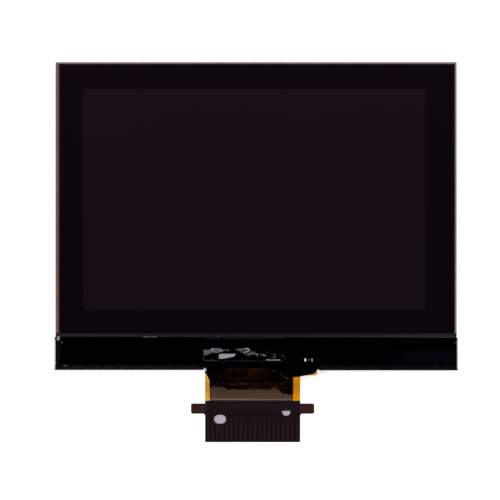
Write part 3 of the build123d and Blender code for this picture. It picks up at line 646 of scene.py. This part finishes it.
FACETS = (
    # Over the chip
    Facet(
        ((-11.15, -28.58), (-11.15, -29.73), (-10.37, -29.6), (-9.51, -29.35), (-9.51, -28.43)),
        -0.094, rough=0.003,
    ),
    Facet(
        ((-9.56, -28.43), (-9.56, -29.26), (-7.71, -29.13), (-7.15, -28.92), (-7.6, -28.07),
         (-8.45, -28.07)),
        -0.094, rough=0.004,
    ),
    Facet(
        ((-7.07, -28.37), (-7.07, -28.88), (-5.9, -28.88), (-5.58, -28.62), (-6.0, -28.37)),
        -0.088, rough=0.008,
    ),
    Facet(
        ((-8.0, -30.03), (-8.0, -30.45), (-6.32, -30.32), (-4.6, -29.98), (-4.17, -29.32),
         (-7.64, -29.32)),
        -0.14, rough=0.006,
    ),
    Facet(
        ((-4.41, -28.24), (-4.3, -28.79), (-3.24, -29.22), (-1.96, -29.22), (-1.32, -28.71),
         (-1.64, -28.24)),
        -0.084, lean=0.01, rough=0.009,
    ),
    Facet(
        ((-2.81, -29.35), (-1.96, -29.86), (0.06, -29.54), (0.06, -28.83), (-1.11, -28.66)),
        -0.084, lean=-0.01, rough=0.009,
    ),
    Facet(((0.91, -29.43), (1.23, -29.98), (2.08, -30.03), (1.98, -29.64), (1.44, -29.43)), -0.035),
    Facet(((0.3, -29.0), (0.3, -30.3), (5.6, -30.3), (5.6, -28.8)), -0.056, rough=0.009),
    Facet(((3.2, -29.22), (3.2, -30.28), (4.21, -30.28), (4.1, -29.3)), -0.015),
    Facet(((2.08, -30.79), (5.06, -30.79), (4.53, -30.37), (3.15, -30.32)), -0.094, rough=0.004),
    # Beside the capacitor
    Facet(oblong(11.03, -30.9, 11.4, -30.5), -0.088, soft=0.06),
    # At the tape's ends
    Facet(oblong(-42.35, -26.02, -41.72, -25.6), -0.14, level=3.95),
    Facet(oblong(-42.35, -26.49, -41.75, -25.9), -0.14, level=3.9),
    Facet(((-41.74, -26.6), (-41.32, -27.18), (-41.16, -27.1), (-41.56, -26.53)), -0.09, soft=0.05),
    Facet(oblong(41.94, -26.8, 42.24, -26.47), -0.096, soft=0.05),
    Facet(oblong(42.3, -27.34, 42.49, -27.07), 0.0, lean=-0.27),
    # Along the lower fold
    Facet(
        ((-42.29, -31.96), (-37.92, -32.05), (-37.92, -31.9), (-42.29, -31.81)),
        -0.07, rough=0.02,
    ),
    Facet(((36.6, -32.05), (39.8, -32.08), (39.8, -31.96), (36.6, -31.93)), -0.1, rough=0.02),
    # Along the upper edge
    Facet(oblong(-23.96, -25.94, -20.92, -25.6), -0.13, rough=0.01),
    Facet(oblong(-8.39, -25.92, -7.71, -25.6), -0.13),
    # Along the edge cut over the flex circuit
    Facet(
        ((-11.2, -32.32), (-11.12, -32.9), (-10.6, -33.05), (-10.7, -32.5)),
        0.0, lean=0.27, level=3.52,
    ),
    Facet(((3.66, -32.94), (3.75, -33.14), (4.04, -33.14), (3.96, -32.94)), -0.088, level=3.595),
    Facet(((5.05, -33.55), (5.1, -33.86), (5.42, -33.86), (5.37, -33.55)), -0.09, level=3.545),
    Facet(
        ((5.56, -33.96), (5.64, -34.24), (6.1, -34.32), (6.03, -34.02)),
        -0.086, rough=0.02, level=3.46,
    ),
    Facet(
        ((6.5, -34.38), (6.55, -34.56), (6.74, -34.58), (6.7, -34.4)),
        -0.084, rough=0.02, level=3.36,
    ),
    Facet(((6.9, -34.7), (7.0, -35.0), (7.4, -35.02), (7.3, -34.72)), -0.09, level=3.15),
)

# Lower edge of the tape over the flex circuit, cut by hand: across, up
TAB_EDGE = (
    (-10.93, -33.52), (-9.61, -33.33), (-8.35, -33.0), (-6.22, -32.45), (2.07, -32.45),
    (3.4, -32.9), (5.0, -33.84), (6.6, -34.85), (7.5, -35.09), (7.83, -34.32),
    (9.32, -34.22), (10.92, -33.88), (12.3, -33.56), (12.92, -32.88), (13.07, -32.75),
)


def filled(marks, step_at):
    """Places through all marks, filled in at the step that step_at gives between two."""
    marks = sorted(set(round(mark, 4) for mark in marks))
    places = [marks[0]]
    for start, end in zip(marks, marks[1:]):
        count = max(1, math.ceil((end - start) / step_at((start + end) / 2)))
        places += [blend(start, end, part / count) for part in range(1, count + 1)]
    return places


class TapeForm:
    """The outer face of the ledge tape in millimetres, worked out from the parts it covers."""

    def __init__(self, sizes):
        lengths = [name for name in sizes.__annotations__ if name != "skew"]
        size = SimpleNamespace(**{name: getattr(sizes, name) / MM for name in lengths})
        self.size, self.skew = size, sizes.skew
        rear, front = box("array_glass"), box("filter_glass")
        self.chip, cap, self.flex = box("driver_chip"), box("capacitor_ends"), box("flex_circuit")
        bond, cover, screen = box("flex_bond_film"), box("flex_traces"), box("front_polariser")
        stand = size.seat + size.thickness
        self.roof = screen[1].z - size.seat
        self.ledge = rear[1].z + stand
        self.lapped = front[1].z + stand
        self.over_head = cover[1].z + stand
        self.over_cap = cap[1].z + stand
        self.edge = rear[0].y
        self.wall = self.edge - stand
        self.step = front[0].y - size.seat
        self.top = front[0].y + size.lap
        self.foot = front[0].y - size.slope
        self.left = rear[0].x - size.overhang
        self.right = rear[1].x + size.overhang
        self.back = size.seat
        self.notch = (self.flex[0].x - size.notch_play, self.flex[1].x + size.notch_play)
        self.head_edge = cover[1].y + HEAD_ROOM
        self.cap_middle = (cap[0] + cap[1]) / 2
        (low, high), left, right = self.chip, self.flex[0].x, self.flex[1].x
        # Left, right, bottom, top and roof of what stands under the tape: chip, flex head, wing
        self.blocks = (
            (low.x, high.x, low.y, high.y, self.chip[1].z + stand),
            (left, right, self.edge, self.head_edge, self.over_head),
            (right - size.wing_reach, right, self.edge, bond[1].y + WING_ROOM, self.over_head),
        )
        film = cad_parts["flex_circuit"].data
        corners = [vertex.co for vertex in film.vertices]
        self.film = BVHTree.FromPolygons(corners, [face.vertices for face in film.polygons])

    def tent(self, x, y, left, right, bottom, top, roof):
        """Height over a block with a flat roof, falling steeply to the ledge round it, with mitred
        corners."""
        grow = self.size.thickness
        away_x = max(left - grow - x, x - right - grow, 0.0)
        away_y = max(bottom - grow - y, y - top - grow, 0.0)
        return blend(roof, self.ledge, clamp(max(away_x, away_y) / self.size.skirt))

    def rim_crease(self, x, y):
        """The tape's crease along the chip's rim: sunk at its sides, lifted along its bottom."""
        size, (low, high) = self.size, self.chip
        grow = size.thickness
        left, right = x - low.x + grow, high.x + grow - x
        under = y - low.y + grow
        if min(left, right, under) < -ROUNDING or y > high.y + grow:
            return 0.0
        crease = max(0.0, size.rim - under) * (CREASE_LIFT + CREASE_WAVE * wave(x, y, RIM_WAVE))
        for inside, reach in ((left, size.rim_left), (right, size.rim_right)):
            if under < reach:
                crease -= max(0.0, size.side_rim - inside) * SIDE_CREASE
        return crease

    def hump(self, x, y):
        """Height over the capacitor: a flat ridge, gentle ends and steep, mitred sides."""
        size = self.size
        across, along = x - self.cap_middle.x, abs(y - self.cap_middle.y)
        ridge = size.ridge_right if across > 0 else size.ridge_left
        across = abs(across) + HUMP_CURVE * along * along
        half_long, half_wide = size.hump_length / 2, size.hump_width / 2
        shoulder = half_long - size.skirt
        height = self.over_cap - HUMP_FALL * clamp(across - ridge, 0.0, shoulder - ridge)
        height -= HUMP_CROWN * along * along
        steep = clamp(min(half_long - across, half_wide - along) / size.skirt)
        return blend(self.over_head, height, steep)

    def drape(self, y):
        """Height over the flex circuit past the ledge, where the tape follows the film's bend."""
        start = Vector((self.flex[0].x + self.flex[1].x, 2 * y, 2 * self.roof)) / 2 * MM
        place, normal, _, _ = self.film.ray_cast(start, Vector((0, 0, -1)))
        return place.z / MM + (self.over_head - self.flex[1].z) / normal.z

    def front_height(self, x, y):
        """Outer face over the front glass, the ledge, what stands on it and the flex circuit, with
        the facets, the ripples, and the wrinkles and droop of the ends."""
        edge = self.edge
        if y < edge - ROUNDING:
            height = self.drape(y)
        else:
            down = clamp((self.step - y) / (self.step - self.foot))
            height = blend(self.lapped, self.ledge, down)
            height = max(height, *(self.tent(x, y, *block) for block in self.blocks))
            height += self.rim_crease(x, y)
            if height > self.over_head - ROUNDING:
                height = max(height, self.hump(x, y))
        for facet in FACETS:
            height = facet.lift(x, y, height)
        height += self.size.ripple * max(0.0, wave(x, y, SLOW_RIPPLE))
        worn = clamp((abs(x) - WORN_START) / WORN_RUN)
        height += WORN_HEIGHT * worn * max(0.0, wave(x, y, END_WRINKLE))
        frayed = worn * ease((edge + FRAYED_WIDTH - y) / FRAYED_RUN)
        frayed *= 1.0 if x < 0 else FRAYED_RIGHT
        height += FRAYED_HEIGHT * frayed * max(0.0, wave(x, y, FRAYED_WRINKLE))
        droop = max(0.0, abs(x) - self.right + DROOP_RUN) / DROOP_RUN
        return min(height, self.roof) - DROOP_HEIGHT * droop * droop

    def skirt_marks(self, place, way):
        """Mesh lines at the top and the foot of the tape's slope beside a block."""
        grow = self.size.thickness
        return [place + way * grow, place + way * (grow + self.size.skirt)]

    def hump_marks(self, middle, length):
        """Mesh lines at the feet and the shoulders of the hump."""
        half, shoulder = length / 2, length / 2 - self.size.skirt
        return [middle - half, middle - shoulder, middle + shoulder, middle + half]

    def front_rows(self):
        """Places down the front leg, from the lap to the ledge's edge, with the folds on rows."""
        size, low = self.size, self.chip[0]
        marks = [self.top, self.step, self.foot, self.edge, low.y - size.thickness + size.rim]
        marks += self.skirt_marks(low.y, -1) + self.hump_marks(self.cap_middle.y, size.hump_width)
        for _, _, _, top, _ in self.blocks:
            marks += self.skirt_marks(top, 1)
        return filled(marks, lambda place: size.fine_step)[::-1]

    def columns(self):
        """Places across the tape: close over the chip, the flex and the ends, wide elsewhere."""
        size, (low, high), middle = self.size, self.chip, self.cap_middle.x
        left_end, right_end = self.left + END_STRETCH, self.right - END_STRETCH
        fine_left, fine_right = self.notch[0] - NOTCH_STRETCH, self.notch[1] + NOTCH_STRETCH
        marks = [self.left, left_end, fine_left, fine_right, right_end, self.right]
        creased = size.side_rim - size.thickness
        marks += [*GLINT_STRETCH, *EXTRA_LINES, *self.notch, low.x + creased, high.x - creased]
        marks += [place for block in self.blocks[1:] for place in block[:2]]
        for left, right, *_ in self.blocks:
            marks += self.skirt_marks(left, -1) + self.skirt_marks(right, 1)
        marks += self.hump_marks(middle, size.hump_length)
        marks += [middle - size.ridge_left, middle + size.ridge_right]

        def step_at(place):
            if fine_left < place < fine_right:
                return size.fine_step
            if not left_end <= place <= right_end or GLINT_STRETCH[0] < place < GLINT_STRETCH[1]:
                return CLOSE_STEP
            return size.coarse_step

        return filled(marks, step_at)

    def wrap_places(self):
        """Places round the ledge's edge and behind it, as places up the module and heights."""
        radius = self.size.fold_radius
        middle_y = self.wall + radius
        upper, lower = self.ledge - radius, self.back + radius
        turns = [turn / FOLD_STEPS * math.pi / 2 for turn in range(1, FOLD_STEPS + 1)]
        places = [
            (middle_y - radius * math.sin(turn), upper + radius * math.cos(turn)) for turn in turns
        ]
        for part in range(1, WALL_STEPS):
            places.append((self.wall, blend(upper, lower, part / WALL_STEPS)))
        places += [
            (middle_y - radius * math.cos(turn), lower - radius * math.sin(turn))
            for turn in [0.0, *turns]
        ]
        end = self.edge + self.size.back_reach
        for part in range(1, BACK_STEPS + 1):
            places.append((blend(middle_y, end, part / BACK_STEPS), self.back))
        return places

    def bulge(self, x, y):
        """How far the fold stands off the ledge's edge: more at the right, none behind."""
        behind = clamp((y - self.edge) / self.size.back_reach)
        return self.size.bulge * ease((x - BULGE_START) / BULGE_RUN) * (1.0 - behind)

    def tab_edge(self, x):
        """Lower edge of the tape: cut by hand over the flex circuit, the ledge's edge elsewhere."""
        if TAB_EDGE[0][0] < x < TAB_EDGE[-1][0]:
            for (left, low), (right, high) in zip(TAB_EDGE, TAB_EDGE[1:]):
                if left <= x <= right:
                    uneven = CUT_WAVE_HEIGHT * wave(x, 1.0, CUT_WAVE)
                    return blend(low, high, (x - left) / (right - left)) + uneven
        return self.edge

    def in_notch(self, x):
        """Whether the tape is cut off here because the flex circuit leaves under it."""
        return self.notch[0] < x < self.notch[1]

    def point(self, x, row, front, wrap):
        """Where the grid's vertex in a row belongs: on the front leg, on the tab over the flex
        circuit, or round the ledge's edge and behind it."""
        tab_end = self.tab_edge(x) if self.in_notch(x) else self.edge
        front_end = max(self.edge, tab_end)
        if row < len(front):
            y, hold = front[row], self.head_edge - HEAD_ROOM
            if y < hold:
                y = blend(hold, front_end, (hold - y) / (hold - self.edge))
            elif y > self.step:
                y = self.step + (y - self.step) * (1.0 - self.skew * x / self.right)
            return x, y, self.front_height(x, y)
        if self.in_notch(x):
            y = blend(front_end, tab_end, (row - len(front) + 1) / len(wrap))
            return x, y, self.front_height(x, y)
        y, z = wrap[row - len(front)]
        raised = clamp((z - self.back) / (self.ledge - self.back))
        z += (self.front_height(x, self.edge) - self.ledge) * raised
        return x, y - self.bulge(x, y), z


def deselect():
    """Leaves edit mode and selects nothing."""
    if bpy.context.object and bpy.context.object.mode != "OBJECT":
        bpy.ops.object.mode_set(mode="OBJECT")
    bpy.ops.object.select_all(action="DESELECT")


def fold_tape(sizes):
    """A grid laid over the route of the tape, cut where the flex circuit leaves, and given its
    thickness."""
    form = TapeForm(sizes)
    columns, front, wrap = form.columns(), form.front_rows(), form.wrap_places()
    last_column, last_row = len(columns) - 1, len(front) + len(wrap) - 1
    deselect()
    bpy.ops.mesh.primitive_grid_add(x_subdivisions=last_column, y_subdivisions=last_row, size=2.0)
    tape = bpy.context.object
    tape.name = tape.data.name = "ledge_tape_folded"
    places = []
    for vertex in tape.data.vertices:
        x = columns[round((vertex.co.x + 1) / 2 * last_column)]
        row = round((1 - vertex.co.y) / 2 * last_row)
        places.append((x, row))
        vertex.co = Vector(form.point(x, row, front, wrap)) * MM
    bpy.ops.object.mode_set(mode="EDIT")
    bpy.ops.mesh.select_mode(type="FACE")
    bpy.ops.mesh.select_all(action="DESELECT")
    bpy.ops.object.mode_set(mode="OBJECT")
    for face in tape.data.polygons:
        across, down = zip(*(places[index] for index in face.vertices))
        left, right = min(across), max(across)
        tab = min(form.edge - form.tab_edge(x) for x in (left, right))
        wrapped = max(down) >= len(front)
        face.select = wrapped and form.in_notch((left + right) / 2) and tab < SHORTEST_TAB
    bpy.ops.object.mode_set(mode="EDIT")
    bpy.ops.mesh.delete(type="FACE")
    bpy.ops.object.mode_set(mode="OBJECT")
    wall = tape.modifiers.new("wall", "SOLIDIFY")
    wall.thickness = sizes.thickness
    wall.offset = -1.0
    bpy.ops.object.modifier_apply(modifier=wall.name)
    bpy.ops.object.shade_smooth_by_angle(angle=math.radians(SMOOTH_DEGREES))
    return tape


# The studio

# The table lies this many millimetres under the module
FLOOR_GAP = 0.03
# The stiffener's ears, which cast no shade on the table, and the soft edge of the tail's shade
EAR_LENGTH = 3.5
SHADE_SOFT = 0.6
# Heights over the horizon, as sines, between which the walls turn into the ceiling
WALLS_TO_CEILING = (0.2, 0.55)
# Directions along Y, as sines, between which the dark wall turns light, and the share of light
# on either side
DARK_WALL = (-0.45, 0.2, 0.08, 1.0)


def add_softbox(name, turn, tilt, half_wide, half_high, brightness, tint, distance):
    """A softbox that faces the module: turn is its side of the table and tilt its angle from
    straight above."""
    wide = 2 * distance * math.tan(half_wide)
    high = 2 * distance * math.tan(half_high)
    lamp = bpy.data.lights.new(name, "AREA")
    lamp.shape = "RECTANGLE"
    lamp.size, lamp.size_y = wide, high
    lamp.energy = brightness * math.pi * wide * high
    lamp.color = tint
    softbox = bpy.data.objects.new(name, lamp)
    bpy.context.scene.collection.objects.link(softbox)
    across, up = math.sin(tilt) * math.sin(turn), -math.sin(tilt) * math.cos(turn)
    softbox.location = Vector((across, up, math.cos(tilt))) * distance
    softbox.rotation_euler = (tilt, 0.0, turn)
    softbox.visible_camera = False


def floor_finish(colours, studio):
    """Pale table top, lifted to white where the lens, a gloss or clear glass sees it, but for the
    tail's shade."""
    recipe = Recipe("table_top")
    x, y = recipe.axis("X"), recipe.axis("Y")
    low, high = box("tail_stiffener")
    shade = x.between(low.x + EAR_LENGTH, high.x - EAR_LENGTH, SHADE_SOFT)
    shade = shade * y.between(low.y + SHADE_SOFT, high.y - SHADE_SOFT, SHADE_SOFT)
    top = recipe.mix(colours.floor, colours.floor_shade, shade)
    diffuse = recipe.node("BsdfDiffuse", {"Color": top})
    kinds = ("Camera", "Glossy", "Transmission")
    seen, glossy, through = (recipe.node("LightPath", out=f"Is {kind} Ray") for kind in kinds)
    strength = seen.high(glossy).high(through) * studio.floor_glow * (1.0 - shade)
    glow = recipe.node("Emission", {"Color": opaque(WHITE), "Strength": strength})
    return recipe.output(recipe.node("AddShader", {0: diffuse, 1: glow}))


def light_world(studio):
    """Dim ceiling, lighter walls but for a dark one below the module, and plain white where the
    lens sees past the table."""
    recipe = Recipe("studio", "worlds")
    place = recipe.node("TexCoord", out="Generated")
    along, height = (recipe.node("SeparateXYZ", {0: place}, name) for name in "YZ")
    walls = height.ramp(*WALLS_TO_CEILING, studio.wall_level, studio.ceiling_level)
    room = recipe.node("Background", {"Strength": walls * along.ramp(*DARK_WALL)})
    white = recipe.node("Background", {"Color": opaque(WHITE)})
    seen = recipe.node("LightPath", out="Is Camera Ray")
    both = recipe.node("MixShader", {"Fac": seen, 1: room, 2: white})
    bpy.context.scene.world = recipe.output(both, "OutputWorld")


# Operators


class DISPLAY_OT_stage(bpy.types.Operator):
    """Lay the pale table, hang the softboxes and set the camera over the module"""

    bl_idname = "display.stage"
    bl_label = "Table, Lights and Camera"
    bl_options = {"REGISTER", "UNDO"}

    def execute(self, context):
        scene = context.scene
        studio, colours = scene.display_studio, scene.display_colours
        lens = bpy.data.cameras.new("camera")
        lens.lens = studio.lens
        lens.sensor_width = 36.0
        lens.clip_start, lens.clip_end = 0.01, 20.0
        camera = bpy.data.objects.new("camera", lens)
        camera.location = (studio.camera_x, studio.camera_y, studio.camera_height)
        scene.collection.objects.link(camera)
        scene.camera = camera
        deselect()
        bpy.ops.mesh.primitive_plane_add(size=studio.floor_size, location=(0, 0, -FLOOR_GAP * MM))
        floor = context.object
        bpy.ops.object.transform_apply(location=True, rotation=True, scale=True)
        floor.name = floor.data.name = "table_top"
        floor.data.materials.append(floor_finish(colours, studio))
        distance = studio.light_distance
        # Name, then degrees: side of the table, tilt, half width and half height
        lamps = (
            ("key_softbox", (180.0, 18.0, 20.0, 8.0), studio.key_level, studio.key_colour),
            ("near_softbox", (180.0, 8.25, 20.0, 1.75), studio.near_level, studio.key_colour),
            ("left_softbox", (-90.0, 30.0, 5.5, 5.5), studio.left_level, WHITE),
            ("right_softbox", (90.0, 30.0, 6.0, 5.5), studio.right_level, WHITE),
        )
        for name, angles, brightness, tint in lamps:
            add_softbox(name, *map(math.radians, angles), brightness, tint, distance)
        light_world(studio)
        scene.view_settings.view_transform = "Standard"
        return {"FINISHED"}


class DISPLAY_OT_screen(bpy.types.Operator):
    """Finish the screen: polarisers, glass, picture area, border and the cell between the glasses"""

    bl_idname = "display.screen"
    bl_label = "Screen and Glass"
    bl_options = {"REGISTER", "UNDO"}

    def execute(self, context):
        colours = context.scene.display_colours
        paint(screen_film(colours), "front_polariser")
        paint(cut_glass(colours), "array_glass", "filter_glass")
        paint(speckled("rear_film", (0.03, 0.03, 0.035), 0.18), "rear_polariser")
        paint(speckled("seal_resin", (0.28, 0.2, 0.17), 0.5, cell=1.0), "cell_seal")
        paint(speckled("cell_fluid", (0.1, 0.08, 0.09), 0.12), "liquid_crystal")
        paint(speckled("filter_layer", (0.09, 0.05, 0.07), 0.2, fine=9.0), "colour_filter")
        paint(speckled("border_print", (0.02, 0.012, 0.02), 0.45, fine=20.0), "border_mask")
        return {"FINISHED"}


class DISPLAY_OT_flex(bpy.types.Operator):
    """Finish the flex circuit, its conductors, stiffener and contacts, the chip and the capacitor"""

    bl_idname = "display.flex"
    bl_label = "Flex Circuit and Chip"
    bl_options = {"REGISTER", "UNDO"}

    def execute(self, context):
        colours = context.scene.display_colours
        paint(amber_film(colours), "flex_circuit", "led_flex")
        paint(trace_cover(colours), "flex_traces")
        paint(stiff_film(colours), "tail_stiffener")
        paint(plated_gold(), "contact_fingers")
        bond = speckled("bond_film", (0.5, 0.46, 0.38), 0.5, fine=18.0, depth=0.008)
        paint(bond, "chip_bond_film", "flex_bond_film")
        chip = speckled("ground_silicon", (0.12, 0.12, 0.14), 0.22, fine=24.0, metal=0.6)
        paint(chip, "driver_chip")
        tin = speckled("bright_tin", (0.7, 0.7, 0.72), 0.28, fine=12.0, depth=0.01, metal=1.0)
        paint(tin, "lead_solder", "capacitor_ends")
        ceramic = speckled("ceramic", (0.36, 0.2, 0.1), 0.45, fine=20.0)
        paint(ceramic, "capacitor_body")
        return {"FINISHED"}


class DISPLAY_OT_backlight(bpy.types.Operator):
    """Finish the backlight: bezel, frame, films, light guide and lamps"""

    bl_idname = "display.backlight"
    bl_label = "Backlight"
    bl_options = {"REGISTER", "UNDO"}

    def execute(self, context):
        colours = context.scene.display_colours
        paint(brushed_sheet(colours), "rear_bezel")
        white = speckled("moulded_white", colours.frame_white, 0.42, spread=0.05, depth=0.006)
        paint(white, "light_frame")
        paint(speckled("mirror_film", (0.88, 0.89, 0.9), 0.14, spread=0.04), "reflector_sheet")
        paint(speckled("clear_acrylic", (0.8, 0.85, 0.86), 0.06, spread=0.03), "light_guide")
        paint(speckled("frosted_film", (0.84, 0.84, 0.84), 0.6, fine=30.0), "diffuser_sheet")
        paint(ribbed_film("lower_prisms", "Y"), "lower_prism_sheet")
        paint(ribbed_film("upper_prisms", "X"), "upper_prism_sheet")
        paint(speckled("rim_tape_black", (0.012, 0.012, 0.013), 0.5), "rim_tape")
        paint(speckled("lamp_plastic", (0.8, 0.8, 0.78), 0.45), "led_packages")
        paint(lamp_window(), "led_windows")
        return {"FINISHED"}


class DISPLAY_OT_tape(bpy.types.Operator):
    """Fold the glossy black tape over the ledge, the chip, the flex head and the capacitor"""

    bl_idname = "display.tape"
    bl_label = "Ledge Tape"
    bl_options = {"REGISTER", "UNDO"}

    def execute(self, context):
        scene = context.scene
        tape = fold_tape(scene.display_tape)
        tape.data.materials.append(tape_finish(scene.display_colours))
        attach(tape, "root")
        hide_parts("ledge_tape")
        return {"FINISHED"}


OPERATORS = (
    DISPLAY_OT_stage,
    DISPLAY_OT_screen,
    DISPLAY_OT_flex,
    DISPLAY_OT_backlight,
    DISPLAY_OT_tape,
)


class DISPLAY_PT_panel(bpy.types.Panel):
    """Sizes, colours and pieces of the display module"""

    bl_label = "Display Module"
    bl_idname = "DISPLAY_PT_panel"
    bl_space_type = "VIEW_3D"
    bl_region_type = "UI"
    bl_category = "Display"

    def draw(self, context):
        layout = self.layout
        for operator in OPERATORS:
            layout.operator(operator.bl_idname)
        for group in GROUPS:
            column = layout.column(align=True)
            for name in GROUPS[group].__annotations__:
                column.prop(getattr(context.scene, group), name)


GROUPS = {
    "display_tape": DisplayTapeSizes,
    "display_colours": DisplayColours,
    "display_studio": DisplayStudio,
}


def register():
    for kind in (*GROUPS.values(), *OPERATORS, DISPLAY_PT_panel):
        bpy.utils.register_class(kind)
    for name, group in GROUPS.items():
        setattr(bpy.types.Scene, name, PointerProperty(type=group))


def unregister():
    for name in GROUPS:
        delattr(bpy.types.Scene, name)
    for kind in (DISPLAY_PT_panel, *reversed(OPERATORS), *GROUPS.values()):
        bpy.utils.unregister_class(kind)


def main():
    register()
    bpy.ops.display.stage()
    bpy.ops.display.screen()
    bpy.ops.display.flex()
    bpy.ops.display.backlight()
    bpy.ops.display.tape()


if __name__ == "__main__":
    main()
